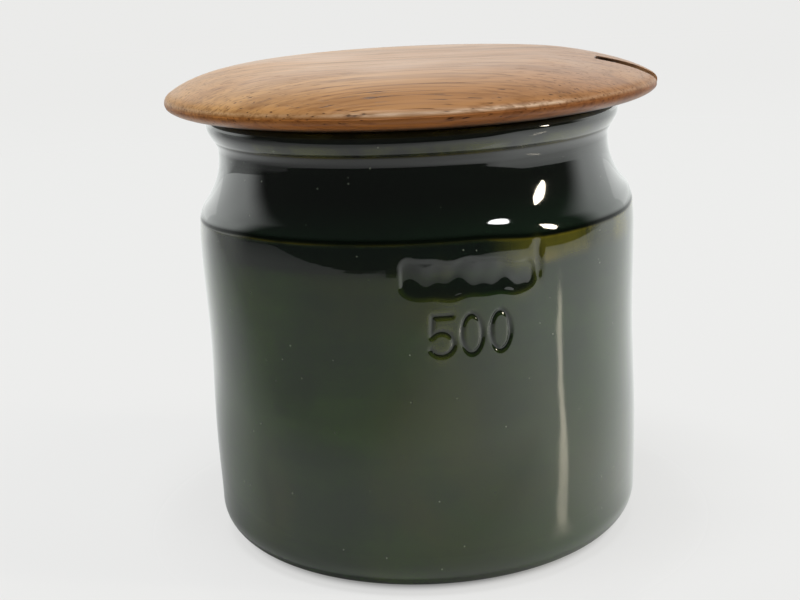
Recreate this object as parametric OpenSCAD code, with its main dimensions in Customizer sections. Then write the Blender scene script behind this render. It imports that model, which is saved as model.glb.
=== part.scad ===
// Half-litre butter crock: a glazed stoneware jar with a loose turned wooden lid.
// The jar stands on z = 0 with its axis on +Z. The lid's knife slot points along +X.

/* [Jar body] */
// Outside diameter of the wall
crock_d = 102.5; // [80:0.5:140]
// Height of the upright wall, from the table to the shoulder crease
wall_h = 78.4; // [50:0.2:120]
// Thickness of the wall, the neck and the lip
wall_t = 4; // [3:0.25:5.5]
// Thickness of the floor above the hollow of the foot
floor_t = 5.5; // [4:0.5:9]
// Radius between the floor and the wall, inside
floor_round = 8; // [3:0.5:14]

/* [Foot] */
// Radius of the rounded corner between the foot and the wall
foot_round = 7.8; // [4:0.2:10]
// Width of the flat ring that the jar stands on
foot_ring_w = 7; // [3:0.5:12]
// Depth of the hollow inside the foot ring
foot_hollow = 1; // [0.5:0.1:2]

/* [Shoulder and neck] */
// How far the neck is set in from the wall
neck_inset = 5.55; // [4:0.05:8]
// Angle by which the shoulder breaks from the wall at the crease
crease_angle = 5.7; // [0:0.1:10]
// Outside radius of the rounded shoulder
shoulder_round = 7; // [6:0.5:10]
// Outside radius of the hollow between shoulder and neck
neck_sweep = 12.5; // [8:0.5:16]
// Height of the straight part of the neck
neck_h = 2.6; // [1:0.1:10]

/* [Lip] */
// How far the lip stands out from the neck
lip_out = 2.4; // [1.6:0.1:4]
// Angle of the flare between neck and lip, from upright
lip_flare = 30; // [20:1:40]
// Outside radius of the bend from the neck into the flare
lip_bend = 2.8; // [1:0.2:4]
// Radius of the bead round the outside of the lip
lip_bead = 1.7; // [1:0.1:2]
// Radius of the lip's inner corner
lip_inner_round = 0.8; // [0.4:0.1:1]

/* [Lid] */
// How far the lid reaches out past the lip
lid_overhang = 9; // [4:0.1:16]
// Height of the lid's edge above its seat on the lip
edge_h = 4; // [2:0.1:6]
// Rise of the domed top above the edge
crown_rise = 7.4; // [4:0.1:12]
// Power that sets how flat the middle of the dome is
crown_flatness = 4.6; // [2:0.1:8]
// Power that sets how full the dome is at its edge
crown_fullness = 0.66; // [0.5:0.01:1]
// Power that sets how the underside leaves its seat
belly_flatness = 1.2; // [1:0.1:3]
// Power that sets how round the underside is at the edge
belly_fullness = 0.41; // [0.3:0.01:1]

/* [Plug under the lid] */
// Gap all round between the plug and the inside of the neck, wide enough for a knife blade
plug_gap = 3.5; // [1:0.1:6]
// Depth of the plug below the seat
plug_h = 8; // [4:0.5:14]
// Radius of the plug's lower corner
plug_round = 1.5; // [0.5:0.1:3]

/* [Knife slot] */
// Width of the slot
slot_w = 7.6; // [5:0.1:12]
// How far the slot reaches in past the lip's inner edge
slot_reach = 1.6; // [1:0.1:3]
// Radius of the slot's inner corners
slot_round = 1.2; // [0.4:0.1:2]

/* [Hidden] */
glaze_green = [0.10, 0.14, 0.09];
teak_brown = [0.55, 0.36, 0.24];
arc_steps = 14;
curve_steps = 40;
spare = 2;
$fn = 96;

// Radii of the jar
crock_r = crock_d / 2;
bore_r = crock_r - wall_t;
neck_r = crock_r - neck_inset;
neck_bore_r = neck_r - wall_t;
lip_r = neck_r + lip_out;
foot_r = crock_r - foot_round;
foot_ring_r = foot_r - foot_ring_w;
floor_z = foot_hollow + floor_t;

// Shoulder: a convex arc from the crease, then a hollow arc that ends upright at the neck
shoulder_c = [crock_r - shoulder_round * cos(crease_angle), wall_h - shoulder_round * sin(crease_angle)];
sweep_c_r = neck_r + neck_sweep;
slope = acos((sweep_c_r - shoulder_c[0]) / (shoulder_round + neck_sweep));
sweep_c = [sweep_c_r, shoulder_c[1] + (shoulder_round + neck_sweep) * sin(slope)];

// Lip: a bend out of the neck, a straight flare and a bead
bend_c = [neck_r + lip_bend, sweep_c[1] + neck_h];
flare_out = lip_out - (lip_bend + lip_bead) * (1 - cos(lip_flare));
bead_c = [lip_r - lip_bead, bend_c[1] + (lip_bend + lip_bead) * sin(lip_flare) + flare_out / tan(lip_flare)];
lip_z = bead_c[1] + lip_bead;

// Radius of the inside of the flare at height z
function flare_bore_r(z) = bend_c[0] - (lip_bend + wall_t) / cos(lip_flare) + (z - bend_c[1]) * tan(lip_flare);
lip_bore_r = flare_bore_r(lip_z);
inner_corner_z = lip_z - lip_inner_round;
inner_corner_c = [flare_bore_r(inner_corner_z) + lip_inner_round / cos(lip_flare), inner_corner_z];

// Lid, measured from the top of the lip
lid_r = lip_r + lid_overhang;
seat_r = lip_r - lip_bead;
plug_r = neck_bore_r - plug_gap;
slot_in = lip_bore_r - slot_reach;
lid_top = edge_h + crown_rise;

// Points along an arc about centre c, from angle a to angle b
function arc(c, r, a, b) = [for (i = [0 : arc_steps]) let (t = a + (b - a) * i / arc_steps)
    [c[0] + r * cos(t), c[1] + r * sin(t)]];

// Height of the lid's domed top at radius r
function crown(r) = edge_h + crown_rise * pow(1 - pow(r / lid_r, crown_flatness), crown_fullness);

// Height of the lid's underside at radius r, rising from the seat to the edge
function belly(r) = edge_h * (1 - pow(max(0, 1 - pow((r - seat_r) / (lid_r - seat_r), belly_flatness)),
    belly_fullness));

// Outside of the jar, from the middle of the foot to the top of the lip
outside = concat(
    [[0, foot_hollow], [foot_ring_r - foot_hollow, foot_hollow], [foot_ring_r, 0]],
    arc([foot_r, foot_round], foot_round, -90, 0),
    arc(shoulder_c, shoulder_round, crease_angle, slope),
    arc(sweep_c, neck_sweep, 180 + slope, 180),
    arc(bend_c, lip_bend, 180, 180 - lip_flare),
    arc(bead_c, lip_bead, -lip_flare, 90)
);

// Inside of the jar, from the top of the lip to the middle of the floor
inside = concat(
    arc(inner_corner_c, lip_inner_round, 90, 180 - lip_flare),
    arc(bend_c, lip_bend + wall_t, 180 - lip_flare, 180),
    arc(sweep_c, neck_sweep + wall_t, 180, 180 + slope),
    arc(shoulder_c, shoulder_round - wall_t, slope, crease_angle),
    arc([bore_r - floor_round, floor_z + floor_round], floor_round, 0, -90),
    [[0, floor_z]]
);

// Turned section of the lid, from the middle of the plug round to the top of the dome
lid_section = concat(
    [[0, -plug_h]],
    arc([plug_r - plug_round, plug_round - plug_h], plug_round, -90, 0),
    [[plug_r, 0]],
    [for (i = [0 : curve_steps]) let (r = seat_r + (lid_r - seat_r) * sin(90 * i / curve_steps)) [r, belly(r)]],
    [for (i = [1 : curve_steps]) let (r = lid_r * cos(90 * i / curve_steps)) [r, crown(r)]]
);

// Plan of the knife slot, open at the lid's edge
slot_plan = concat(
    arc([slot_in + slot_round, slot_w / 2 - slot_round], slot_round, 90, 180),
    arc([slot_in + slot_round, slot_round - slot_w / 2], slot_round, 180, 270),
    [[lid_r + spare, -slot_w / 2], [lid_r + spare, slot_w / 2]]
);

// Glazed stoneware jar
module crock() {
    color(glaze_green)
        rotate_extrude() polygon(concat(outside, inside));
}

// Turned wooden lid with its plug and the slot for the knife's handle
module lid() {
    color(teak_brown)
        translate([0, 0, lip_z])
            difference() {
                rotate_extrude() polygon(lid_section);
                translate([0, 0, -spare])
                    linear_extrude(lid_top + 2 * spare) polygon(slot_plan);
            }
}

crock();
lid();
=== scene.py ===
import math

import bpy
import numpy as np
from mathutils import Matrix, Vector


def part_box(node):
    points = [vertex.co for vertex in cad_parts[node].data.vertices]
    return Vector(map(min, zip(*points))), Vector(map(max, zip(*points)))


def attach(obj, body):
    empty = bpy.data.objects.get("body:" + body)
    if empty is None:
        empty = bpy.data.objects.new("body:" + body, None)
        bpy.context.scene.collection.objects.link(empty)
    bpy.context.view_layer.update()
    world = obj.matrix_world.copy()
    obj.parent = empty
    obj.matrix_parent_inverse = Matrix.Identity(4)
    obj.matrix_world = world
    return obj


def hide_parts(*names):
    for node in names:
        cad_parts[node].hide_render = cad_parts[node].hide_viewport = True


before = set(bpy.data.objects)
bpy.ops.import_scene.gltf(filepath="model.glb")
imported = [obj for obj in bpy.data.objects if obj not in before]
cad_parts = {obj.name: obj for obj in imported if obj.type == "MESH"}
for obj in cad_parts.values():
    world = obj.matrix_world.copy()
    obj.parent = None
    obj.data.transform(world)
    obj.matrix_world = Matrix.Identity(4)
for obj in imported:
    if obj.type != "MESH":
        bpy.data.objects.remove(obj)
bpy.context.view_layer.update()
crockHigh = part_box("crock")[1]
lidLow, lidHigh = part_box("lid")
scene = bpy.context.scene
mm = 0.001
print("frame loaded, lip at %.1f mm" % (crockHigh.z / mm))


# Camera, as solved from the photograph: angles in degrees, lengths in metres
photoView = {
    "azimuth": 10.8,        # right of the crock's own front, towards the knife slot
    "distance": 0.31857,    # from the crock's axis, level
    "height": 0.1374,
    "yaw": -0.864,
    "pitch": -14.745,
    "roll": -2.807,
    "focalPixels": 1348.6,
    "imageWidth": 800,
}


# A point at an azimuth right of the camera, a level distance from the axis and a height
def fromCamera(azimuth, distance, height):
    turn = math.radians(photoView["azimuth"] + azimuth)
    return Vector((distance * math.sin(turn), -distance * math.cos(turn), height))


def makeCamera():
    data = bpy.data.cameras.new("photoCamera")
    data.sensor_fit = "HORIZONTAL"
    data.sensor_width = 36.0
    data.lens = data.sensor_width * photoView["focalPixels"] / photoView["imageWidth"]
    data.clip_start = 0.01
    data.clip_end = 50.0
    camera = bpy.data.objects.new("photoCamera", data)
    place = Matrix.Translation(fromCamera(0.0, photoView["distance"], photoView["height"]))
    turn = Matrix.Rotation(math.radians(photoView["azimuth"] - photoView["yaw"]), 4, "Z")
    tilt = Matrix.Rotation(math.radians(90.0 + photoView["pitch"]), 4, "X")
    roll = Matrix.Rotation(math.radians(photoView["roll"]), 4, "Z")
    camera.matrix_world = place @ turn @ tilt @ roll
    scene.collection.objects.link(camera)
    scene.camera = camera
    print("camera ready, lens %.1f mm" % data.lens)


makeCamera()


# Points (radius, height) on an arc: centre plus radius times cosine and sine, from angle to angle in degrees
def arcPoints(centre, radius, fromAngle, toAngle, count):
    angle = np.radians(np.linspace(fromAngle, toAngle, count))
    return np.stack([centre[0] + radius * np.cos(angle), centre[1] + radius * np.sin(angle)], 1)


# Points in even steps along a straight stretch, both ends included
def linePoints(start, end, count):
    return np.linspace(np.asarray(start, float), np.asarray(end, float), count)


# Joins stretches into one profile and drops points that repeat
def joinProfile(*stretches):
    points = np.concatenate(stretches)
    step = np.hypot(*np.diff(points, axis=0).T)
    return points[np.r_[True, step > 1e-7]]


# Eases from 0 at low to 1 at high: t squared times 3 - 2t, with t held between 0 and 1
def smoothStep(low, high, value):
    t = np.clip((value - low) / (high - low), 0.0, 1.0)
    return t * t * (3.0 - 2.0 * t)


# 1 inside a zone, eased in from low to lowFull and out from highFull to high
def between(low, lowFull, highFull, high, value):
    return smoothStep(low, lowFull, value) * (1.0 - smoothStep(highFull, high, value))


# Bell curve: e to the minus square of the offset over the width
def bell(offset, width):
    return np.exp(-(offset / width) ** 2)


# Signed distance to a round-cornered bar: the way past its inner corner, or back inside it, less the rounding
def roundedDistance(dx, dy, rounding):
    past = np.hypot(np.maximum(dx, 0.0), np.maximum(dy, 0.0))
    return past + np.minimum(np.maximum(dx, dy), 0.0) - rounding


# Closed skin over a grid of rings: quads between rings, a fan of triangles at each pole
def closedSkin(name, rings, firstPole, lastPole):
    ringCount, columnCount = rings.shape[:2]
    points = np.concatenate([rings.reshape(-1, 3), [firstPole], [lastPole]])
    index = np.arange(ringCount * columnCount).reshape(ringCount, columnCount)
    following = np.roll(index, -1, axis=1)
    quads = np.stack([index[:-1], following[:-1], following[1:], index[1:]], -1).reshape(-1, 4)
    firstIndex = ringCount * columnCount
    firstFan = np.stack([following[0], index[0], np.full(columnCount, firstIndex)], -1)
    lastFan = np.stack([index[-1], following[-1], np.full(columnCount, firstIndex + 1)], -1)
    faces = quads.tolist() + firstFan.tolist() + lastFan.tolist()
    mesh = bpy.data.meshes.new(name)
    mesh.from_pydata(points, [], faces)
    mesh.polygons.foreach_set("use_smooth", np.ones(len(faces), bool))
    mesh.update()
    piece = bpy.data.objects.new(name, mesh)
    scene.collection.objects.link(piece)
    print("%s: %d faces" % (name, len(faces)))
    return piece


# Stores one value for each point of a mesh, the two poles last
def storeMask(piece, name, values, firstPole=0.0, lastPole=0.0):
    attribute = piece.data.attributes.new(name, "FLOAT", "POINT")
    attribute.data.foreach_set("value", np.r_[values.ravel(), firstPole, lastPole].astype(np.float32))


# Jar of glazed stoneware
crockSizes = {
    "radius": crockHigh.x,
    "wallHeight": 78.4 * mm,
    "wall": 4.0 * mm,
    "floor": 5.5 * mm,
    "floorRound": 8.0 * mm,
    "footRound": 7.8 * mm,
    "footRing": 7.0 * mm,
    "footHollow": 1.0 * mm,
    "neckInset": 5.55 * mm,
    "creaseAngle": 7.5,
    "shoulderRound": 6.0 * mm,
    "neckSweep": 16.0 * mm,
    "lipTop": crockHigh.z,
    "lipOut": 2.4 * mm,
    "lipFlare": 30.0,
    "lipBend": 2.8 * mm,
    "lipBead": 1.7 * mm,
    "lipInnerRound": 0.8 * mm,
    "lipCurve": (93.3 * mm, 98.9 * mm),     # heights between which the neck swings out to the lip
    "poleRing": 2.0 * mm,       # innermost ring, round the middle of foot and floor
    "bareHeight": 0.25 * mm,    # the foot is bare of glaze below this
    "creaseRidge": 0.03 * mm,
    "creaseWidth": 0.22 * mm,
    "waveHeight": 0.2 * mm,     # slow swell up the thrown wall
    "waveLength": 47.0 * mm,
    "waveStart": 25.5 * mm,
    "swellFade": 4.0 * mm,      # the swell fades over this height above the crease
    "easeHeight": 4.8 * mm,     # the wall eases in under the crease over this height
    "easeRound": 90.0 * mm,
    "warmEaseMore": 1.5 * mm,   # and over this much more where the glaze ran thin
    "warmEaseRound": 44.0 * mm,
    "creaseDip": 1.35 * mm,     # the crease sags there
    "creaseDipSpan": 7.0 * mm,
    "grooveUp": 0.6 * mm,       # turned groove just above the crease
    "grooveDepth": 0.09 * mm,
    "grooveWidth": 0.70 * mm,
    "collarLine": 95.7 * mm,    # fine turned line under the lip
    "collarDepth": 0.10 * mm,
    "collarWidth": 0.36 * mm,
    "dripZone": (-7.0 * mm, -3.0 * mm),     # thin glaze starts and is full, from the crease
    "creaseShadeZone": (-7.5 * mm, -5.0 * mm),     # the same for painted shade under the crease
    "flankZone": (0.8 * mm, 1.6 * mm, 3.0 * mm),    # olive glaze over the collar line
}

# Stamped zone on the wall: a bare sunk band with plain figures under it
stampSizes = {
    "azimuth": 22.7,            # from the front towards the knife slot
    "warmAzimuth": 63.3,        # middle of the run of thin glaze under the crease
    "warmCap": (0.77, 0.97),    # cosines of the angles from it where the run ends and is full
    "backTurn": 2.6,            # radians to a second, weaker run at the back
    "backCap": (0.6, 0.95),
    "backShare": 0.6,
    "halfSpan": 17.5 * mm,      # finely meshed part each side of the middle
    "low": 53.2 * mm,           # and from here up
    "topGap": 1.2 * mm,         # to this far under the crease
    "fineStep": 0.25 * mm,
    "coarseColumns": 106,       # round the rest of the jar
    "reach": 30.0 * mm,         # nothing is stamped further than this from the band
    "bandHeight": 70.7 * mm,
    "bandHalfWidth": 14.4 * mm,
    "bandHalfHeight": 3.7 * mm,
    "bandRound": 2.2 * mm,
    "bandDepth": 0.62 * mm,
    "bandDish": 0.55,           # share of the depth lost at its upper and lower sides
    "dentOffset": 15.6 * mm,
    "dentWidth": 1.1 * mm,
    "dentUp": 3.0 * mm,
    "dentHeight": 4.6 * mm,
    "dentDepth": 0.4 * mm,
    "spotOffset": 18.6 * mm,    # amber spot beside the dent
    "spotHeight": 73.6 * mm,
    "spotSize": 1.3 * mm,
    "figureHeight": 8.4 * mm,
    "figureMiddle": 58.9 * mm,
    "figureStroke": 0.5 * mm,
    "figureDepth": 0.42 * mm,
    "figurePitch": 6.3 * mm,
    "edge": 0.55 * mm,
}


# Profile of the jar from the middle of the foot, up the outside, over the lip and down inside: straight
# stretches and arcs, each starting where the last one ends, with the inside set in by the wall
def crockProfile(s, stamp):
    outer = s["radius"]
    bore = outer - s["wall"]
    neck = outer - s["neckInset"]
    foot = outer - s["footRound"]
    ring = foot - s["footRing"]
    floorTop = s["footHollow"] + s["floor"]
    crease = math.radians(s["creaseAngle"])
    shoulder = np.array([outer - s["shoulderRound"] * math.cos(crease),
                         s["wallHeight"] - s["shoulderRound"] * math.sin(crease)])
    reach = s["shoulderRound"] + s["neckSweep"]
    slope = math.acos((neck + s["neckSweep"] - shoulder[0]) / reach)
    sweep = np.array([neck + s["neckSweep"], shoulder[1] + reach * math.sin(slope)])
    flare = math.radians(s["lipFlare"])
    flareOut = s["lipOut"] - (s["lipBend"] + s["lipBead"]) * (1.0 - math.cos(flare))
    bead = np.array([neck + s["lipOut"] - s["lipBead"], s["lipTop"] - s["lipBead"]])
    # the flare starts as far below the bead as its two bends and its slope need
    bend = np.array([neck + s["lipBend"],
                     bead[1] - (s["lipBend"] + s["lipBead"]) * math.sin(flare) - flareOut / math.tan(flare)])
    cornerHeight = s["lipTop"] - s["lipInnerRound"]
    flareBore = bend[0] - (s["lipBend"] + s["wall"]) / math.cos(flare)
    flareBore = flareBore + (cornerHeight - bend[1]) * math.tan(flare)
    corner = np.array([flareBore + s["lipInnerRound"] / math.cos(flare), cornerHeight])
    # the neck swings out to the lip: neck radius plus the lip's reach times an eased share of the height
    swingHeight = np.linspace(sweep[1], bead[1], 34)
    swing = np.stack([neck + s["lipOut"] * smoothStep(*s["lipCurve"], swingHeight), swingHeight], 1)
    slopeDegrees = math.degrees(slope)
    shoulderFine = s["creaseAngle"] + 18.0      # finer rows up to here, for the turned groove
    stampTop = s["wallHeight"] - stamp["topGap"]
    fineRows = int((stampTop - stamp["low"]) / stamp["fineStep"])
    outside = joinProfile(
        linePoints((s["poleRing"], s["footHollow"]), (ring - s["footHollow"], s["footHollow"]), 12),
        linePoints((ring - s["footHollow"], s["footHollow"]), (ring, 0.0), 4),
        linePoints((ring, 0.0), (foot, 0.0), 7),
        arcPoints((foot, s["footRound"]), s["footRound"], -90.0, 0.0, 18),
        linePoints((outer, s["footRound"]), (outer, stamp["low"]), 30),
        linePoints((outer, stamp["low"]), (outer, stampTop), fineRows),
        linePoints((outer, stampTop), (outer, s["wallHeight"]), 7),
        arcPoints(shoulder, s["shoulderRound"], s["creaseAngle"], shoulderFine, 16),
        arcPoints(shoulder, s["shoulderRound"], shoulderFine, slopeDegrees, 14),
        arcPoints(sweep, s["neckSweep"], 180.0 + slopeDegrees, 180.0, 20),
        swing,
        arcPoints(bead, s["lipBead"], 0.0, 90.0, 16),
    )
    inside = joinProfile(
        arcPoints(corner, s["lipInnerRound"], 90.0, 180.0 - s["lipFlare"], 9),
        arcPoints(bend, s["lipBend"] + s["wall"], 180.0 - s["lipFlare"], 180.0, 9),
        arcPoints(sweep, s["neckSweep"] + s["wall"], 180.0, 180.0 + slopeDegrees, 14),
        arcPoints(shoulder, s["shoulderRound"] - s["wall"], slopeDegrees, s["creaseAngle"], 7),
        linePoints((bore, s["wallHeight"] - s["wall"]), (bore, floorTop + s["floorRound"]), 22),
        arcPoints((bore - s["floorRound"], floorTop + s["floorRound"]), s["floorRound"], 0.0, -90.0, 12),
        linePoints((bore - s["floorRound"], floorTop), (s["poleRing"], floorTop), 12),
    )
    return outside, inside


# Distance from points (across, up) to a straight stroke: to the nearest point along it, held to its ends
def strokeDistance(across, up, start, end):
    along = np.array(end, float) - np.array(start, float)
    t = ((across - start[0]) * along[0] + (up - start[1]) * along[1]) / (along @ along)
    t = np.clip(t, 0.0, 1.0)
    return np.hypot(across - start[0] - t * along[0], up - start[1] - t * along[1])


# Distance to an upright oval stroke: to the point of the oval at the same angle, once both are made round
def ovalDistance(across, up, middle, halfWidth, halfHeight):
    dx = across - middle[0]
    dy = up - middle[1]
    angle = np.arctan2(dy / halfHeight, dx / halfWidth)
    return np.hypot(dx - halfWidth * np.cos(angle), dy - halfHeight * np.sin(angle))


# Distance to an open arc stroke: to the point of the circle at the same angle, held to the end angles
def arcDistance(across, up, middle, radius, fromAngle, toAngle):
    angle = np.degrees(np.arctan2(up - middle[1], across - middle[0]))
    angle = np.clip(np.where(angle < fromAngle - 90.0, angle + 360.0, angle), fromAngle, toAngle)
    turn = np.radians(angle)
    return np.hypot(across - middle[0] - radius * np.cos(turn), up - middle[1] - radius * np.sin(turn))


# Distance to the nearest stroke of the plain figures 5, 0 and 0, whose sizes are shares of their height
def figureDistance(across, up, stamp):
    high = stamp["figureHeight"]
    half = high / 2.0
    left = -stamp["figurePitch"]
    bowl = 0.30 * high
    bowlMiddle = (left - 0.02 * high, -half + bowl)
    distance = strokeDistance(across, up, (left - 0.22 * high, half), (left + 0.24 * high, half))
    distance = np.minimum(distance, strokeDistance(across, up, (left - 0.22 * high, half),
                                                   (left - 0.25 * high, 0.06 * high)))
    distance = np.minimum(distance, arcDistance(across, up, bowlMiddle, bowl, -150.0, 140.0))
    for place in (0.0, stamp["figurePitch"]):
        distance = np.minimum(distance, ovalDistance(across, up, (place, 0.0), 0.258 * high, half))
    return distance


# Signed distance to the sunk band: a round-cornered bar that leans and narrows, with sines along its outline
def bandDistance(across, up, stamp):
    wander = 0.28 * mm * np.sin(across / (2.3 * mm) + 0.7) + 0.2 * mm * np.sin(across / (1.1 * mm) + 2.0)
    lean = -0.03 * across + 0.12 * mm * np.sin(across / (4.0 * mm))
    halfHeight = stamp["bandHalfHeight"] - 0.022 * across + wander * np.sign(up)
    dx = np.abs(across) - stamp["bandHalfWidth"] + stamp["bandRound"]
    dy = np.abs(up - lean) - halfHeight + stamp["bandRound"]
    return roundedDistance(dx, dy, stamp["bandRound"])


# Unevenness of the thrown wall: a cosine swell up the jar, less the square of the way into the eased
# top over twice its radius, plus slow and fine sines round the jar
def wallWander(s, angle, height, warmSide):
    up = height / mm
    swell = s["waveHeight"] * (0.5 + np.cos(2.0 * math.pi * (height - s["waveStart"]) / s["waveLength"]))
    reach = s["easeHeight"] + s["warmEaseMore"] * warmSide
    ease = np.clip(height - s["wallHeight"] + reach, 0.0, reach)
    bend = 1.0 / s["easeRound"] + warmSide * (1.0 / s["warmEaseRound"] - 1.0 / s["easeRound"])
    swell = swell - bend * ease ** 2 / 2.0
    swell = swell * (1.0 - smoothStep(s["wallHeight"], s["wallHeight"] + s["swellFade"], height))
    slow = 0.035 * np.sin(12.0 * angle + 1.3 * np.sin(up / 13.0)) + 0.05 * np.sin(3.0 * angle + up / 40.0)
    fine = 0.004 * np.sin(up / 3.1 + 1.5 * np.sin(2.0 * angle))
    fine = fine + 0.005 * np.sin(30.0 * angle + 2.0 * np.sin(up / 2.1))
    return swell + mm * (slow + fine)


# Angles of the jar's columns, also counted from the stamp: fine across the stamp, coarse round the rest
def crockAngles(s, stamp):
    middle = math.radians(stamp["azimuth"] - 90.0)
    half = stamp["halfSpan"] / s["radius"]
    fine = np.linspace(-half, half, int(2.0 * stamp["halfSpan"] / stamp["fineStep"]))
    coarse = np.linspace(half, 2.0 * math.pi - half, stamp["coarseColumns"])[1:-1]
    return middle + np.r_[fine, coarse], np.r_[fine, coarse - 2.0 * math.pi * (coarse > math.pi)]


# Where the glaze ran thin under the crease: eased caps about two directions round the jar
def thinSide(stamp, turn):
    fromRun = turn - math.radians(stamp["warmAzimuth"] - 90.0)
    front = smoothStep(*stamp["warmCap"], np.cos(fromRun))
    return front + stamp["backShare"] * smoothStep(*stamp["backCap"], np.cos(fromRun + stamp["backTurn"]))


# Turns the profile about the axis, presses in the stamp, and stores masks for the glaze
def makeCrock():
    s, stamp = crockSizes, stampSizes
    outside, inside = crockProfile(s, stamp)
    profile = np.concatenate([outside, inside])
    angle, fromStamp = crockAngles(s, stamp)
    radius = np.repeat(profile[:, :1], len(angle), 1)
    height = np.repeat(profile[:, 1:], len(angle), 1)
    turn = np.repeat(angle[None], len(profile), 0)
    across = np.repeat(fromStamp[None], len(profile), 0) * s["radius"]
    overCrease = height - s["wallHeight"]
    overBand = height - stamp["bandHeight"]
    isOutside = np.arange(len(profile))[:, None] < len(outside)
    facing = isOutside & (np.abs(overBand) < stamp["reach"])
    warmSide = thinSide(stamp, turn)
    onWall = isOutside * between(s["footRound"] * 0.5, s["footRound"] * 1.6,
                                 s["wallHeight"] + 8.0 * mm, s["lipTop"] - 6.0 * mm, height)
    radius = radius + onWall * wallWander(s, turn, height, warmSide)
    # raised line at the crease, with a turned groove over it and a finer one under the lip
    crease = isOutside * bell(overCrease, s["creaseWidth"])
    groove = isOutside * bell(overCrease - s["grooveUp"], s["grooveWidth"])
    collar = isOutside * bell(height - s["collarLine"], s["collarWidth"])
    turned = s["creaseRidge"] * crease - s["grooveDepth"] * groove
    turned = turned * (1.0 - 0.85 * np.clip(warmSide, 0.0, 1.0))
    radius = radius + turned - s["collarDepth"] * collar
    dip = s["creaseDip"] * warmSide * bell(overCrease, s["creaseDipSpan"]) * isOutside
    # sunk band, a soft dent at its end and the figures below, pressed in along the radius
    band = bandDistance(across, overBand, stamp)
    figures = figureDistance(across, height - stamp["figureMiddle"], stamp) - stamp["figureStroke"]
    dent = facing * np.exp(-((across - stamp["dentOffset"]) / stamp["dentWidth"]) ** 2
                           - ((overBand - stamp["dentUp"]) / stamp["dentHeight"]) ** 4)
    bandSunk = facing * (1.0 - smoothStep(-stamp["edge"], stamp["edge"], band))
    figureSunk = facing * (1.0 - smoothStep(-stamp["edge"], stamp["edge"] * 0.8, figures))
    bandWave = 0.16 * np.sin(across / (1.7 * mm)) + 0.10 * np.sin(across / (0.8 * mm) + 1.0)
    bandUp = overBand / stamp["bandHalfHeight"] + bandWave
    bandDished = bandSunk * (1.0 - stamp["bandDish"] * np.clip(bandUp, -1.0, 1.0) ** 2)
    radius = radius - stamp["bandDepth"] * bandDished - stamp["dentDepth"] * dent
    radius = radius - stamp["figureDepth"] * figureSunk
    rings = np.stack([radius * np.cos(turn), radius * np.sin(turn), height - dip], -1)
    piece = closedSkin("glazedCrock", rings, (0.0, 0.0, profile[0, 1]), (0.0, 0.0, profile[-1, 1]))
    # where the glaze ran thin
    drip = isOutside * between(*s["dripZone"], -0.2 * mm, 0.2 * mm, overCrease)
    rim = facing * bell(np.minimum(band, figures) - 0.2 * mm, 1.6 * mm)
    lipEdge = bell(height - s["lipTop"], 0.9 * mm)
    spot = facing * bell(across - stamp["spotOffset"], stamp["spotSize"])
    spot = spot * bell(height - stamp["spotHeight"], stamp["spotSize"])
    thin = crease * (0.28 + 0.25 * warmSide) + 0.4 * drip * warmSide + 1.2 * spot + 0.25 * collar
    bandTop = 0.5 * bandSunk * smoothStep(-0.3, 0.5, bandUp)
    flank = 0.8 * isOutside * between(0.0, *s["flankZone"], height - s["collarLine"])
    # where it pooled in the stamp, and painted shade under the crease away from the thin side
    creaseShade = isOutside * smoothStep(*s["creaseShadeZone"], overCrease) * (height < s["wallHeight"] - 0.4 * mm)
    creaseShade = creaseShade * (1.0 - np.clip(1.6 * warmSide, 0.0, 1.0))
    poolAndShade = np.maximum(bandSunk * smoothStep(0.7, -0.5, bandUp), figureSunk)
    poolAndShade = np.maximum(poolAndShade, np.maximum(0.5 * dent, 0.9 * creaseShade))
    bare = isOutside & (height < s["bareHeight"])
    masks = {
        "glazeThin": np.clip(np.maximum(thin, 0.55 * lipEdge), 0.0, 1.0),
        "glazeDrip": np.clip(drip * warmSide + 0.7 * rim + dent + bandTop + flank, 0.0, 1.0),
        # pooled glaze, and painted shade under the crease
        "glazePoolAndShade": poolAndShade,
        # painted shade and dull glaze in the turned lines
        "dullShadedLine": np.maximum(groove, 0.8 * collar),
        "bareFoot": bare.astype(float),
    }
    for name, values in masks.items():
        storeMask(piece, name, values)
    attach(piece, "crock")
    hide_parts("crock")
    return piece


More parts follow.
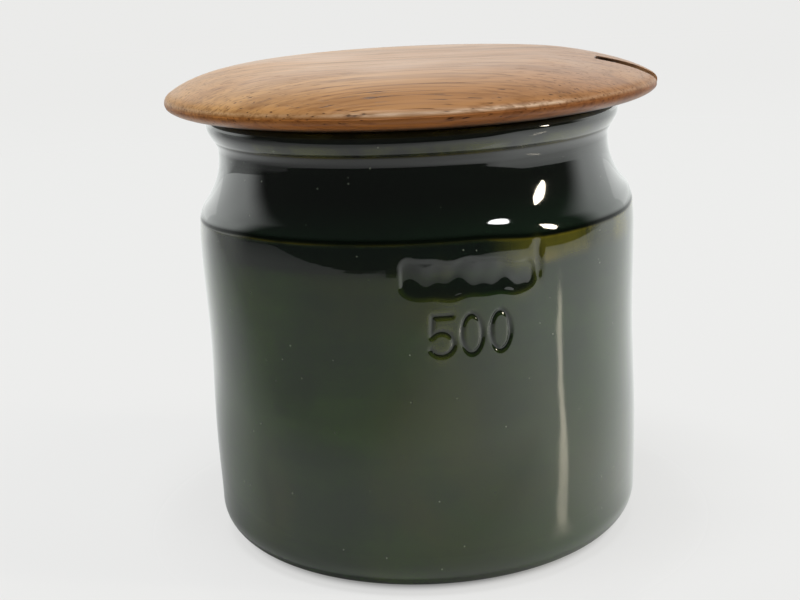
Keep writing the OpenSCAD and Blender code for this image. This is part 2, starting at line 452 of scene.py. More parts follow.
# Turned lid with its plug and knife slot
lidSizes = {
    "radius": -lidLow.x,
    "seat": crockHigh.z,
    "top": lidHigh.z,
    "crownRadius": 58.0 * mm,   # where the dome would end if it weren't rounded off
    "crownEdge": 3.7 * mm,
    "crownFlatness": 5.4,
    "crownFullness": 0.76,
    "bellyEdge": 3.85 * mm,
    "bellyFlatness": 1.2,
    "bellyFullness": 0.41,
    "seatRadius": 46.4 * mm,
    "plugRadius": 38.2 * mm,
    "plugDepth": crockHigh.z - lidLow.z,
    "plugRound": 1.5 * mm,
    "rimStart": 56.2 * mm,      # where the dome turns into the rim
    "rimUnder": 1.5 * mm,       # rounding under the rim
    "rimUnderTurn": -33.5,
    "rimReach": 0.27 * mm,      # how far in the rounding under the rim goes
    "highlightAzimuth": 19.5,        # painted highlight on the rim, strongest here
    "highlightCap": (0.88, 0.985),   # cosines of the angles from there where it fades and is full
    "highlightLeast": 0.15,          # share of the painted highlight all round
    "highlightShare": 0.36,          # height of the painted highlight line, as a share of the rim's rounding
    "highlightWidth": 0.38 * mm,
    "rimDull": 0.95,            # how dull the rest of the rim is, and the underside
    "underDull": 0.55,
    # painted shadow in a ring underneath, between these radii
    "seatShadowFrom": 45.0 * mm,
    "seatShadowTo": 52.0 * mm,
    "slotSideDrop": 0.14,       # share by which the dome is lower beside the slot
    "slotWidth": 7.6 * mm,
    "slotEnd": 43.1 * mm,
    "slotRound": 1.2 * mm,
    "slotMouth": 0.5 * mm,      # rounding where the slot meets the rim
    "slotEase": 0.2 * mm,       # rounding of the slot's upper and lower edges
    "slotFan": 12.0,            # degrees of the plug's circle that the slot's columns fan out from
    "fanEase": 60.0,            # degrees by which the rim's columns are straight again
    "rimColumns": 344,
}


# Height of the dome: edge plus rise times (1 - (r/R)^flatness)^fullness
def domeHeight(s, radius):
    edge = s["seat"] + s["crownEdge"]
    share = 1.0 - (radius / s["crownRadius"]) ** s["crownFlatness"]
    return edge + (s["top"] - edge) * share ** s["crownFullness"]


# Centre height, radius and turn of the rounding that carries the dome's slope over to an upright rim
def rimRounding(s):
    step = 0.01 * mm
    start = s["rimStart"]
    slope = (domeHeight(s, start - step) - domeHeight(s, start + step)) / (2.0 * step)
    turn = math.pi / 2.0 - math.atan(slope)
    rounding = (s["radius"] - start) / (1.0 - math.cos(turn))
    return domeHeight(s, start) - rounding * math.sin(turn), rounding, math.degrees(turn)


# Dome from the middle to the rim, then the rounding
def lidTopProfile(s):
    centre, rounding, turn = rimRounding(s)
    radius = np.r_[np.linspace(0.0, s["plugRadius"], 24), np.linspace(s["plugRadius"], s["rimStart"], 34)[1:]]
    dome = np.stack([radius, domeHeight(s, radius)], 1)
    return joinProfile(dome, arcPoints((s["radius"] - rounding, centre), rounding, turn, 0.0, 16))


# Underside from the rim in to the plug: a rounding, then edge height times 1 - (1 - t^flatness)^fullness
# down to the seat, then flat
def lidUnderProfile(s):
    centre = rimRounding(s)[0]
    rim = arcPoints((s["radius"] - s["rimUnder"], centre), s["rimUnder"], 0.0, s["rimUnderTurn"], 9)
    span = s["radius"] - s["seatRadius"]
    across = np.sin(np.linspace(math.asin(1.0 - s["rimReach"] / span), 0.0, 26))
    radius = s["seatRadius"] + span * across
    belly = s["seat"] + s["bellyEdge"] * (1.0 - (1.0 - across ** s["bellyFlatness"]) ** s["bellyFullness"])
    flat = linePoints((s["seatRadius"], s["seat"]), (s["plugRadius"], s["seat"]), 10)
    return joinProfile(rim, np.stack([radius, belly], 1), flat)


# Points on a circle about the axis, at angles in degrees
def onCircle(radius, degrees):
    angle = np.radians(degrees)
    return radius * np.stack([np.cos(angle), np.sin(angle)], 1)


# Plan of the lid's rim, a circle broken by the slot's sides, end and roundings, one point for each column,
# and the angle each starts from at the plug
def lidOutline(s):
    half = s["slotWidth"] / 2.0
    mouth = np.array([math.sqrt((s["radius"] - s["slotMouth"]) ** 2 - (half + s["slotMouth"]) ** 2),
                      half + s["slotMouth"]])
    mouthAngle = math.degrees(math.atan2(mouth[1], mouth[0]))
    inner = (s["slotEnd"] + s["slotRound"], half - s["slotRound"])
    upper = joinProfile(
        linePoints((s["slotEnd"], 0.0), (s["slotEnd"], inner[1]), 4),
        arcPoints(inner, s["slotRound"], 180.0, 90.0, 7),
        linePoints((inner[0], half), (mouth[0], half), 16),
        arcPoints(mouth, s["slotMouth"], -90.0, mouthAngle, 7),
    )
    travel = np.r_[0.0, np.cumsum(np.hypot(*np.diff(upper, axis=0).T))]
    upperStart = s["slotFan"] * travel / travel[-1]
    rimAngle = np.linspace(mouthAngle, 360.0 - mouthAngle, s["rimColumns"])[1:-1]
    rim = onCircle(s["radius"], rimAngle)
    # the rim's columns start from the fan's edge and ease back to their own angle
    turned = np.where(rimAngle > 180.0, 360.0 - rimAngle, rimAngle)
    blend = smoothStep(mouthAngle, s["fanEase"], turned)
    fanned = np.interp(turned, (mouthAngle, s["fanEase"]), (s["slotFan"], s["fanEase"]))
    eased = turned * blend + fanned * (1.0 - blend)
    rimStart = np.where(rimAngle > 180.0, 360.0 - eased, eased)
    lower = upper[:0:-1] * np.array([1.0, -1.0])
    lowerStart = 360.0 - upperStart[:0:-1]
    return np.concatenate([upper, rim, lower]), np.r_[upperStart, rimStart, lowerStart]


# Distance outside the slot's plan: a round-cornered bar open at the rim
def slotDistance(s, x, y):
    dx = s["slotEnd"] + s["slotRound"] - x
    dy = np.abs(y) - s["slotWidth"] / 2.0 + s["slotRound"]
    return roundedDistance(dx, dy, s["slotRound"])


# Drop of a rounded edge at a distance in from it: quarter circle of the given radius
def easedEdge(distance, radius):
    inward = np.clip(radius - distance, 0.0, None)
    return radius - np.sqrt(np.clip(radius ** 2 - inward ** 2, 0.0, None))


# Rings run out over the top, down the rim or slot wall, back under, and down round the plug
def makeLid():
    s = lidSizes
    top = lidTopProfile(s)
    under = lidUnderProfile(s)
    rimHeight, rimRound = rimRounding(s)[:2]
    outline, startAngle = lidOutline(s)
    onRim = np.hypot(outline[:, 0], outline[:, 1]) > s["radius"] - 0.001 * mm
    start = onCircle(s["plugRadius"], startAngle)

    # plan points at a profile's radii: out along each column's line from the plug's circle to the outline
    def spread(profile):
        share = ((profile[:, 0] - s["plugRadius"]) / (s["radius"] - s["plugRadius"]))[:, None, None]
        inner = start * (profile[:, 0] / s["plugRadius"])[:, None, None]
        return np.where(share > 0.0, start + (outline - start) * share, inner)

    # heights of a profile over a plan, with the slot's edges rounded off to one side
    def heights(plan, profile, side):
        radius = np.hypot(plan[..., 0], plan[..., 1])
        order = np.argsort(profile[:, 0])
        shape = np.interp(radius, profile[order, 0], profile[order, 1])
        shape = np.where(radius > s["rimStart"], np.where(onRim, profile[:, 1:], shape), shape)
        ease = easedEdge(slotDistance(s, plan[..., 0], plan[..., 1]), s["slotEase"])
        thick = np.interp(radius, top[:, 0], top[:, 1]) - np.interp(radius, under[::-1, 0], under[::-1, 1])
        return shape + side * np.minimum(ease, 0.4 * thick)

    topPlan = spread(top)[1:]
    underPlan = spread(under)
    topHeight = heights(topPlan, top[1:], -1.0)
    drop = s["slotSideDrop"] * smoothStep(0.5 * s["radius"], 0.95 * s["radius"], topPlan[..., 0])
    topHeight = topHeight - drop * (topHeight - rimHeight)
    underHeight = heights(underPlan, under, 1.0)
    wallShare = np.linspace(0.0, 1.0, 8)[1:-1, None]
    wallHeight = topHeight[-1] + (underHeight[0] - topHeight[-1]) * wallShare
    wallPlan = np.repeat(outline[None], len(wallShare), 0)
    plugLow = s["seat"] - s["plugDepth"]
    plugCorner = (s["plugRadius"] - s["plugRound"], plugLow + s["plugRound"])
    plugProfile = joinProfile(
        linePoints((s["plugRadius"], s["seat"]), (s["plugRadius"], plugCorner[1]), 7)[1:],
        arcPoints(plugCorner, s["plugRound"], 0.0, -90.0, 8),
        linePoints((plugCorner[0], plugLow), (0.04 * s["plugRadius"], plugLow), 12),
    )
    plugPlan = start[None] * (plugProfile[:, 0] / s["plugRadius"])[:, None, None]
    plugHeight = np.repeat(plugProfile[:, 1:], len(outline), 1)
    plan = np.concatenate([topPlan, wallPlan, underPlan, plugPlan])
    height = np.concatenate([topHeight, wallHeight, underHeight, plugHeight])
    rings = np.concatenate([plan, height[..., None]], -1)[::-1]
    piece = closedSkin("teakLid", rings, (0.0, 0.0, plugLow), (0.0, 0.0, s["top"]))
    x, y, z = np.moveaxis(rings, -1, 0)
    fromAxis = np.hypot(x, y)
    facingDown = 1.0 - smoothStep(rimHeight - 0.1 * mm, rimHeight + 0.9 * mm, z)
    # painted shade over the whole underside
    storeMask(piece, "shadedUnderside", facingDown, 1.0, 0.0)
    # painted shadow: a dark ring underneath, where the lid meets the lip
    ring = between(s["seatShadowFrom"] - 2.0 * mm, s["seatShadowFrom"],
                   s["seatShadowTo"], s["seatShadowTo"] + 4.0 * mm, fromAxis)
    storeMask(piece, "seatShadowRing", facingDown * ring)
    # painted highlight: the rim is painted pale along a thin line, well over its widest point
    highlightHeight = rimHeight + s["highlightShare"] * rimRound
    paintedHighlight = bell(z - highlightHeight, s["highlightWidth"])
    fromHighlight = np.arctan2(y, x) - math.radians(s["highlightAzimuth"] - 90.0)
    paintedHighlight = paintedHighlight * (s["highlightLeast"] + (1.0 - s["highlightLeast"]) * smoothStep(*s["highlightCap"], np.cos(fromHighlight)))
    paintedHighlight = paintedHighlight * smoothStep(s["rimStart"] - 0.2 * mm, s["rimStart"] + 0.3 * mm, fromAxis)
    storeMask(piece, "rimHighlight", paintedHighlight)
    # elsewhere it is dull, and so is the underside
    rimZone = smoothStep(s["rimStart"] - 1.5 * mm, s["rimStart"] - 0.05 * mm, fromAxis)
    belowRim = 1.0 - smoothStep(rimHeight - 1.3 * mm, rimHeight - 0.4 * mm, z)
    dullRim = s["rimDull"] * rimZone * (1.0 - paintedHighlight) * (1.0 - belowRim)
    storeMask(piece, "dullWood", np.maximum(dullRim, s["underDull"] * belowRim), s["underDull"], 0.0)
    # painted shade: the slot's walls are darkened, most at its inner end
    fromSlot = np.clip(slotDistance(s, x, y), 0.0, None)
    inward = 1.0 - smoothStep(s["slotEnd"], s["radius"] - 1.5 * mm, x)
    storeMask(piece, "slotWallShade", bell(fromSlot, 0.12 * mm) * (0.15 + 0.8 * inward))
    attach(piece, "lid")
    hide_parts("lid")
    return piece


crock = makeCrock()
lid = makeLid()


# Adds a node, sets its properties, and links or fills its inputs
def addNode(tree, kind, settings=None, inputs=None):
    node = tree.nodes.new(kind)
    for name, value in (settings or {}).items():
        setattr(node, name, value)
    for name, value in (inputs or {}).items():
        if isinstance(value, bpy.types.NodeSocket):
            tree.links.new(value, node.inputs[name])
        else:
            node.inputs[name].default_value = value
    return node


def mixColour(tree, factor, first, second, blend="MIX"):
    settings = {"data_type": "RGBA", "blend_type": blend}
    return addNode(tree, "ShaderNodeMix", settings, {0: factor, 6: first, 7: second}).outputs[2]


def calculate(tree, operation, first, second=0.0, clamp=False):
    settings = {"operation": operation, "use_clamp": clamp}
    return addNode(tree, "ShaderNodeMath", settings, {0: first, 1: second}).outputs[0]


def scaled(tree, value, factor):
    return calculate(tree, "MULTIPLY", value, factor)


# Takes a value from one range to another, held at the ends
def rescale(tree, value, low, high, newLow=0.0, newHigh=1.0, smooth=False):
    settings = {"clamp": True, "interpolation_type": "SMOOTHSTEP" if smooth else "LINEAR"}
    inputs = {"Value": value, "From Min": low, "From Max": high, "To Min": newLow, "To Max": newHigh}
    return addNode(tree, "ShaderNodeMapRange", settings, inputs).outputs[0]


# Object coordinates, turned about the axis and stretched
def placedCoordinates(tree, stretch=(1.0, 1.0, 1.0), turn=0.0):
    coordinates = addNode(tree, "ShaderNodeTexCoord").outputs["Object"]
    rotation = (0.0, 0.0, math.radians(turn))
    inputs = {"Vector": coordinates, "Rotation": rotation}
    turned = addNode(tree, "ShaderNodeMapping", None, inputs).outputs[0]
    return addNode(tree, "ShaderNodeMapping", None, {"Vector": turned, "Scale": stretch}).outputs[0]


# The x, y and z of a vector
def partsOf(tree, vector):
    return addNode(tree, "ShaderNodeSeparateXYZ", None, {0: vector}).outputs


def noiseValue(tree, vector, scale, detail=2.0, roughness=0.5, distortion=0.0):
    inputs = {"Vector": vector, "Scale": scale, "Detail": detail,
              "Roughness": roughness, "Distortion": distortion}
    return addNode(tree, "ShaderNodeTexNoise", None, inputs).outputs[0]


def bumpNormal(tree, relief, strength, depth):
    inputs = {"Height": relief, "Strength": strength, "Distance": depth}
    return addNode(tree, "ShaderNodeBump", None, inputs).outputs[0]


def storedMask(tree, name):
    return addNode(tree, "ShaderNodeAttribute", {"attribute_name": name}).outputs["Fac"]


# Soft cloudy mask, used for mottled glaze and for handled wood
def makeCloudGroup():
    group = bpy.data.node_groups.new("cloudyPatches", "ShaderNodeTree")
    sockets = (("Vector", "INPUT", "NodeSocketVector"), ("Scale", "INPUT", "NodeSocketFloat"),
               ("Low", "INPUT", "NodeSocketFloat"), ("High", "INPUT", "NodeSocketFloat"),
               ("Mask", "OUTPUT", "NodeSocketFloat"))
    for name, side, kind in sockets:
        group.interface.new_socket(name=name, in_out=side, socket_type=kind)
    given = addNode(group, "NodeGroupInput").outputs
    cloud = noiseValue(group, given["Vector"], given["Scale"], 4.0, 0.55, 0.4)
    mask = rescale(group, cloud, given["Low"], given["High"], smooth=True)
    addNode(group, "NodeGroupOutput", None, {"Mask": mask})
    return group


cloudGroup = makeCloudGroup()


def cloudMask(tree, vector, scale, low, high):
    inputs = {"Vector": vector, "Scale": scale, "Low": low, "High": high}
    return addNode(tree, "ShaderNodeGroup", {"node_tree": cloudGroup}, inputs).outputs["Mask"]


def newMaterial(name):
    material = bpy.data.materials.new(name)
    material.use_nodes = True
    tree = material.node_tree
    return material, tree, tree.nodes["Principled BSDF"]


# Links values to a shader's inputs by name
def feedShader(tree, shader, sockets):
    for name, socket in sockets.items():
        tree.links.new(socket, shader.inputs[name])


# Colours are linear, as the shader takes them; zones are heights from the crease
glazeLook = {
    "deep": (0.009, 0.024, 0.004, 1.0),
    "bottle": (0.020, 0.048, 0.004, 1.0),
    "warm": (0.036, 0.043, 0.003, 1.0),
    # painted shade: darker towards the shoulder and on the neck
    "shoulder": (0.005, 0.016, 0.007, 1.0),
    "shoulderShadeZone": (-13.0 * mm, 1.0 * mm),
    "neck": (0.003, 0.006, 0.003, 1.0),
    "neckShadeZone": (2.0 * mm, 8.0 * mm),
    # painted shade in the turned lines
    "line": (0.003, 0.005, 0.003, 1.0),
    "lineShine": 0.06,          # specular level in the turned lines
    # pooled glaze, and painted shade under the crease
    "pooledAndShaded": (0.002, 0.005, 0.004, 1.0),
    "pooledAndShadedShare": 0.85,
    "olive": (0.062, 0.072, 0.009, 1.0),
    "amber": (0.20, 0.162, 0.009, 1.0),
    "speck": (0.22, 0.25, 0.19, 1.0),
    "clay": (0.42, 0.33, 0.23, 1.0),
    "clayDark": (0.30, 0.22, 0.15, 1.0),
    "clayRough": 0.85,
    "gloss": (0.035, 0.065),
    "ior": 1.72,
    "coat": 0.5,
    "mottleCloud": (38.0, 0.32, 0.70),      # scale, then the ends of the mask
    "warmCloud": (23.0, 0.46, 0.72),
    "warmShare": 0.7,
    "runCloud": (95.0, 0.40, 0.62),
    "runStretch": (1.0, 1.0, 0.35),
    "thinShare": (0.25, 0.8),   # amber outside the runs and in them
    "turningStretch": (12.0, 12.0, 420.0),
    "turningRange": (0.3, 0.7, -0.3, 0.3),
    "speckScale": 420.0,
    "speckEdge": (0.095, 0.04),
    "speckDraw": (0.76, 0.78),  # only cells that draw more than this have a speck
    "clayScale": 900.0,
    "peelScale": 210.0,
    "turningRelief": 0.35,
    "peelRelief": 0.5,
    "speckRelief": 0.8,
    "bump": (0.25, 0.05 * mm),  # strength and depth
}


# Bottle-green glaze: mottled, pooled dark where sunk, olive to amber where it runs thin, fine pinholes;
# painted shade towards the shoulder, on the neck, in the turned lines and under the crease
def makeGlaze():
    look = glazeLook
    material, tree, shader = newMaterial("bottleGreenGlaze")
    plain = placedCoordinates(tree)
    mottle = cloudMask(tree, plain, *look["mottleCloud"])
    turning = noiseValue(tree, placedCoordinates(tree, look["turningStretch"]), 1.0, 3.0, 0.6)
    tone = calculate(tree, "ADD", mottle, rescale(tree, turning, *look["turningRange"]), clamp=True)
    overCrease = calculate(tree, "SUBTRACT", partsOf(tree, plain)[2], crockSizes["wallHeight"])
    runs = cloudMask(tree, placedCoordinates(tree, look["runStretch"]), *look["runCloud"])
    thinRuns = rescale(tree, runs, 0.0, 1.0, *look["thinShare"])
    dullShaded = storedMask(tree, "dullShadedLine")
    bare = storedMask(tree, "bareFoot")
    # specks in the middles of a few cells
    inputs = {"Vector": plain, "Scale": look["speckScale"]}
    cells = addNode(tree, "ShaderNodeTexVoronoi", None, inputs).outputs
    draw = addNode(tree, "ShaderNodeSeparateColor", None, {0: cells["Color"]}).outputs[0]
    dot = rescale(tree, cells["Distance"], *look["speckEdge"])
    dot = scaled(tree, dot, rescale(tree, draw, *look["speckDraw"]))
    # colours laid one over another, each through its mask
    layers = {
        "warm": scaled(tree, cloudMask(tree, plain, *look["warmCloud"]), look["warmShare"]),
        # painted shade towards the shoulder and on the neck
        "shoulder": rescale(tree, overCrease, *look["shoulderShadeZone"]),
        "neck": rescale(tree, overCrease, *look["neckShadeZone"]),
        # painted shade in the turned lines
        "line": dullShaded,
        "olive": scaled(tree, storedMask(tree, "glazeDrip"), runs),
        "amber": scaled(tree, storedMask(tree, "glazeThin"), thinRuns),
        # pooled glaze, and painted shade under the crease
        "pooledAndShaded": scaled(tree, storedMask(tree, "glazePoolAndShade"), look["pooledAndShadedShare"]),
        "speck": dot,
    }
    colour = mixColour(tree, tone, look["deep"], look["bottle"])
    for name, mask in layers.items():
        colour = mixColour(tree, mask, colour, look[name])
    clay = mixColour(tree, noiseValue(tree, plain, look["clayScale"]), look["clay"], look["clayDark"])
    colour = mixColour(tree, bare, colour, clay)
    gloss = rescale(tree, mottle, 0.0, 1.0, *look["gloss"])
    gloss = calculate(tree, "MAXIMUM", gloss, scaled(tree, bare, look["clayRough"]))
    bareOrDull = calculate(tree, "MAXIMUM", bare, dullShaded)
    peel = noiseValue(tree, plain, look["peelScale"], 2.0)
    relief = scaled(tree, turning, look["turningRelief"])
    relief = calculate(tree, "ADD", relief, scaled(tree, peel, look["peelRelief"]))
    relief = calculate(tree, "SUBTRACT", relief, scaled(tree, dot, look["speckRelief"]))
    bump = bumpNormal(tree, relief, *look["bump"])
    shader.inputs["IOR"].default_value = look["ior"]
    feedShader(tree, shader, {
        "Base Color": colour,
        "Roughness": gloss,
        "Specular IOR Level": rescale(tree, dullShaded, 0.2, 0.9, 0.5, look["lineShine"]),
        "Coat Weight": rescale(tree, bareOrDull, 0.0, 0.9, look["coat"], 0.0),
        "Normal": bump,
        "Coat Normal": bump,
    })
    return material


teakLook = {
    "pale": (0.61, 0.335, 0.118, 1.0),
    "mid": (0.51, 0.257, 0.086, 1.0),
    "dark": (0.20, 0.080, 0.020, 1.0),
    # painted shade on the underside
    "under": (0.80, 0.58, 0.36, 1.0),
    "slotSide": (0.70, 0.68, 0.86, 1.0),    # painted shade, darker and browner towards the slot side
    "pore": (0.045, 0.017, 0.008, 1.0),
    # painted shade on the slot's walls
    "slotShade": (0.060, 0.022, 0.007, 1.0),
    # painted shadow in a ring under the lid
    "seatShadow": (0.016, 0.010, 0.006, 1.0),
    # painted highlight along the rim
    "paintedHighlight": (0.95, 0.74, 0.56, 1.0),
    "dullShine": 0.08,          # specular level where the wood is dull
    "gloss": (0.31, 0.40),
    "handledCloud": (26.0, 0.3, 0.7),
    "grainTurn": -10.8,         # degrees between the grain and the slot
    "bandGrain": ((4.0, 75.0, 30.0), 3.0, 0.55, 0.3),   # stretch, then detail, roughness and distortion
    "bandRange": (0.30, 0.68),
    "lineGrain": ((7.0, 210.0, 300.0), 3.0, 0.6),
    "lineRange": (0.46, 0.72, 0.0, 0.5),
    "fineGrain": ((20.0, 1300.0, 1300.0), 2.0, 0.6),
    "fineRange": (0.46, 0.72, 0.0, 0.65),
    "poreGrain": ((45.0, 2600.0, 2600.0), 1.0, 0.5),
    "poreRange": (0.66, 0.73),
    "slotSideShadeZone": (-0.05, 0.045),     # metres along x
    # painted highlight, broken up along the grain
    "highlightLines": (0.34, 0.62, 1.0, 0.6),
    "highlightSparks": (0.42, 0.60, 1.0, 0.3),
    "poreShare": 0.8,
    "slotShadeShare": 0.95,
    "seatShadowShare": 0.9,
    "poreRough": 0.2,
    "lineRelief": 0.4,
    "fineRelief": 0.5,
    "bump": (0.5, 0.08 * mm),
}


# Oiled teak: broad tone bands, fine lines and open pores along the grain, gloss varying where handled;
# painted shade underneath and at the slot, painted highlight on the rim
def makeTeak():
    look = teakLook
    material, tree, shader = newMaterial("oiledTeak")

    # noise drawn out along the grain
    def grain(stretch, *settings):
        return noiseValue(tree, placedCoordinates(tree, stretch, look["grainTurn"]), 1.0, *settings)

    band = grain(*look["bandGrain"])
    line = grain(*look["lineGrain"])
    fine = grain(*look["fineGrain"])
    pore = rescale(tree, grain(*look["poreGrain"]), *look["poreRange"])
    along = partsOf(tree, placedCoordinates(tree))[0]
    # the grain breaks up the painted highlight on the rim
    streaks = rescale(tree, line, *look["highlightLines"])
    streaks = scaled(tree, streaks, rescale(tree, fine, *look["highlightSparks"]))
    # colours laid one over another, each through its mask
    layers = (
        ("dark", rescale(tree, line, *look["lineRange"]), "MIX"),
        ("dark", rescale(tree, fine, *look["fineRange"]), "MIX"),
        # painted shade towards the slot side
        ("slotSide", rescale(tree, along, *look["slotSideShadeZone"]), "MULTIPLY"),
        # painted highlight along the rim
        ("paintedHighlight", scaled(tree, storedMask(tree, "rimHighlight"), streaks), "MIX"),
        ("pore", scaled(tree, pore, look["poreShare"]), "MIX"),
        # painted shade on the slot's walls
        ("slotShade", scaled(tree, storedMask(tree, "slotWallShade"), look["slotShadeShare"]), "MIX"),
        # painted shade on the underside
        ("under", storedMask(tree, "shadedUnderside"), "MULTIPLY"),
        # painted shadow in a ring under the lid
        ("seatShadow", scaled(tree, storedMask(tree, "seatShadowRing"), look["seatShadowShare"]), "MIX"),
    )
    colour = mixColour(tree, rescale(tree, band, *look["bandRange"], smooth=True), look["pale"], look["mid"])
    for name, mask, blend in layers:
        colour = mixColour(tree, mask, colour, look[name], blend)
    handled = cloudMask(tree, placedCoordinates(tree), *look["handledCloud"])
    gloss = rescale(tree, handled, 0.0, 1.0, *look["gloss"])
    gloss = calculate(tree, "ADD", gloss, scaled(tree, pore, look["poreRough"]), clamp=True)
    shine = rescale(tree, storedMask(tree, "dullWood"), 0.0, 1.0, 0.5, look["dullShine"])
    relief = calculate(tree, "SUBTRACT", scaled(tree, line, look["lineRelief"]), pore)
    relief = calculate(tree, "ADD", relief, scaled(tree, fine, look["fineRelief"]))
    feedShader(tree, shader, {
        "Base Color": colour,
        "Roughness": gloss,
        "Specular IOR Level": shine,
        "Normal": bumpNormal(tree, relief, *look["bump"]),
    })
    return material


crock.data.materials.append(makeGlaze())
lid.data.materials.append(makeTeak())
print("materials ready")


# Stage: pale table that ends in front of the crock, in a room that is dark there; metres from the axis
stageLook = {
    "tableColour": (0.785, 0.79, 0.80, 1.0),
    "tableGloss": 0.11,
    "tableDull": 0.6,           # duller close to the crock
    "dullZone": (0.062, 0.073),
    "tableDrop": 0.3 * mm,      # the table lies this far under the foot
    "tableFront": -0.349,
    "tableTurn": -15.0,         # degrees that the front edge is turned from the view
    "tableBack": 1.6,
    "tableSide": 1.6,
    "fadeZone": (0.35, 1.2),    # where the table fades into the backdrop
    "tableGlow": 0.80,          # share of the table's look that is plain backdrop white, shadows in the rest
    "footGlow": 0.15,           # the same close to the foot, where the shadow is deepest
    "footGlowZone": (0.0435, 0.0485),
    "tableMirrored": 0.6,       # the same share in reflections
    "mirroredFront": (0.02, 0.02, 0.02, 1.0),
    "mirroredBack": (0.965, 1.0, 0.98, 1.0),
    "mirroredRamp": (-0.24, 0.06),      # painted light, from front left to back right
    "nearUnshaded": 0.1,           # painted shade: how much of that shows close to the foot, in front
    "nearShadeZone": (0.05, 0.16),
    "nearShadeRamp": (-0.10, 0.03),
    "footDark": 0.88,           # the reflected shadow under the foot
    "footDarkZone": (0.045, 0.055),
    "backColour": (0.83, 0.83, 0.82, 1.0),
    "roomColour": (0.045, 0.045, 0.045, 1.0),
    "fill": 0.40,               # light from the room on matt surfaces, most of it from above
    "fillLow": 0.2,             # share of it that comes from the sides
    "fillRamp": (0.1, 0.8),     # upward part of the direction, as in lowRamp
    "lowRamp": (0.30, 0.98),
    "behindRamp": (0.05, 0.40),     # backward part of the direction
}

# Lamps: degrees right of the camera, metres from the axis and up; each aims at a height on the axis, or down
stageLamps = {
    "windowLight": {"azimuth": 76.0, "distance": 1.4, "height": 0.63, "aim": 0.63, "shape": "ELLIPSE",
                    "size": (0.14, 0.57), "power": 5.7, "colour": (1.0, 0.90, 0.71)},
    "topLight": {"azimuth": -30.0, "distance": 0.27, "height": 1.5, "aim": "down", "shape": "RECTANGLE",
                 "size": (0.7, 0.3), "power": 14.0, "colour": (1.0, 1.0, 1.0)},
    "sparkLight": {"azimuth": 71.0, "distance": 0.8, "height": 1.22, "aim": 0.06, "shape": "ELLIPSE",
                   "size": (0.20, 0.29), "power": 2.0, "colour": (1.0, 1.0, 1.0)},
    "backLight": {"azimuth": 178.0, "distance": 1.3, "height": 0.50, "aim": 0.06, "shape": "RECTANGLE",
                  "size": (2.4, 1.2), "power": 2.0, "colour": (1.0, 0.99, 0.98)},
}


def addLamp(name, s):
    place = fromCamera(s["azimuth"], s["distance"], s["height"])
    aim = Vector((place.x, place.y, 0.0)) if s["aim"] == "down" else Vector((0.0, 0.0, s["aim"]))
    data = bpy.data.lights.new(name, "AREA")
    data.shape = s["shape"]
    data.size, data.size_y = s["size"]
    data.energy = s["power"]
    data.color = s["colour"]
    lamp = bpy.data.objects.new(name, data)
    lamp.location = place
    lamp.rotation_euler = (aim - place).to_track_quat("-Z", "Y").to_euler()
    lamp.visible_camera = False
    scene.collection.objects.link(lamp)


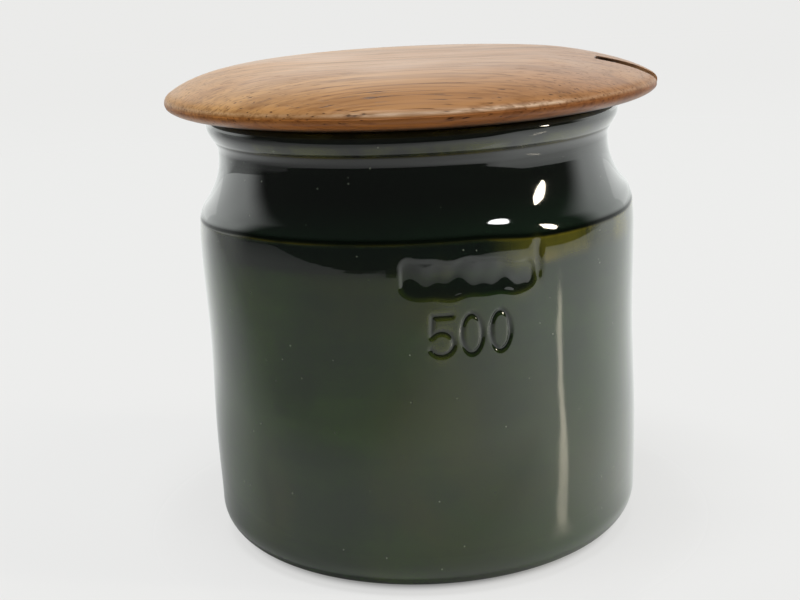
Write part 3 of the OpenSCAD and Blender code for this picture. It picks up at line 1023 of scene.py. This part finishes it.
# Table top, lined up with the view; its far edges fade into the pale backdrop
def makeTable():
    s = stageLook
    turn = Matrix.Rotation(math.radians(photoView["azimuth"] + s["tableTurn"]), 4, "Z")
    corners = ((-s["tableSide"], s["tableFront"]), (s["tableSide"], s["tableFront"]),
               (s["tableSide"], s["tableBack"]), (-s["tableSide"], s["tableBack"]))
    mesh = bpy.data.meshes.new("paleTable")
    mesh.from_pydata([turn @ Vector((x, y, -s["tableDrop"])) for x, y in corners], [], [(0, 1, 2, 3)])
    material, tree, shader = newMaterial("paleTable")
    flat = placedCoordinates(tree, (1.0, 1.0, 0.0))
    distance = addNode(tree, "ShaderNodeVectorMath", {"operation": "LENGTH"}, {0: flat}).outputs["Value"]
    shader.inputs["Base Color"].default_value = s["tableColour"]
    feedShader(tree, shader, {
        "Alpha": rescale(tree, distance, *s["fadeZone"], 1.0, 0.0, smooth=True),
        "Roughness": rescale(tree, distance, *s["dullZone"], s["tableDull"], s["tableGloss"]),
    })
    # painted light: in reflections the table runs from dark in front at the left to white behind and at the
    # right
    place = partsOf(tree, placedCoordinates(tree, turn=-photoView["azimuth"]))
    reach = calculate(tree, "ADD", place[0], place[1])
    seen = mixColour(tree, rescale(tree, reach, *s["mirroredRamp"]), s["mirroredFront"], s["mirroredBack"])
    # with painted shade in front, close to the foot
    near = rescale(tree, distance, *s["nearShadeZone"], s["nearUnshaded"], 1.0)
    unshaded = calculate(tree, "MAXIMUM", near, rescale(tree, reach, *s["nearShadeRamp"]))
    seen = mixColour(tree, unshaded, s["mirroredFront"], seen)
    nearFoot = rescale(tree, distance, *s["footDarkZone"], s["footDark"], 0.0, smooth=True)
    seen = mixColour(tree, nearFoot, seen, s["mirroredFront"])
    # the camera and the glaze see part plain white, the rest keeps the shadow
    path = addNode(tree, "ShaderNodeLightPath").outputs
    seen = mixColour(tree, path["Is Camera Ray"], seen, s["backColour"])
    white = addNode(tree, "ShaderNodeEmission", None, {"Color": seen, "Strength": 1.0}).outputs[0]
    mirrored = calculate(tree, "MAXIMUM", path["Is Glossy Ray"], path["Is Transmission Ray"])
    share = scaled(tree, mirrored, calculate(tree, "MAXIMUM", nearFoot, s["tableMirrored"]))
    glow = rescale(tree, distance, *s["footGlowZone"], s["footGlow"], s["tableGlow"], smooth=True)
    share = calculate(tree, "MAXIMUM", share, scaled(tree, path["Is Camera Ray"], glow))
    mixed = addNode(tree, "ShaderNodeMixShader", None, {0: share, 1: shader.outputs[0], 2: white}).outputs[0]
    tree.links.new(mixed, tree.nodes["Material Output"].inputs["Surface"])
    mesh.materials.append(material)
    table = bpy.data.objects.new("paleTable", mesh)
    scene.collection.objects.link(table)


# Direction seen from the crock, with y away from the camera
def placedDirection(tree):
    direction = addNode(tree, "ShaderNodeTexCoord").outputs["Generated"]
    rotation = (0.0, 0.0, math.radians(-photoView["azimuth"]))
    return addNode(tree, "ShaderNodeMapping", None, {"Vector": direction, "Rotation": rotation}).outputs[0]


# World: pale to the camera; to the crock it is pale behind and level, dark in front and above
def makeWorld():
    s = stageLook
    world = bpy.data.worlds.new("paleRoom")
    world.use_nodes = True
    tree = world.node_tree
    parts = partsOf(tree, placedDirection(tree))
    behind = rescale(tree, parts[1], *s["behindRamp"], smooth=True)
    low = rescale(tree, parts[2], *s["lowRamp"], 1.0, 0.0, smooth=True)
    colour = mixColour(tree, scaled(tree, behind, low), s["roomColour"], s["mirroredBack"])
    fill = rescale(tree, parts[2], *s["fillRamp"], s["fill"] * s["fillLow"], s["fill"], smooth=True)
    path = addNode(tree, "ShaderNodeLightPath").outputs
    colour = mixColour(tree, path["Is Diffuse Ray"], colour, fill)
    colour = mixColour(tree, path["Is Camera Ray"], colour, s["backColour"])
    tree.links.new(colour, tree.nodes["Background"].inputs["Color"])
    scene.world = world


def makeStage():
    makeTable()
    makeWorld()
    for name, lamp in stageLamps.items():
        addLamp(name, lamp)
    scene.view_settings.view_transform = "Standard"
    print("stage ready")


makeStage()
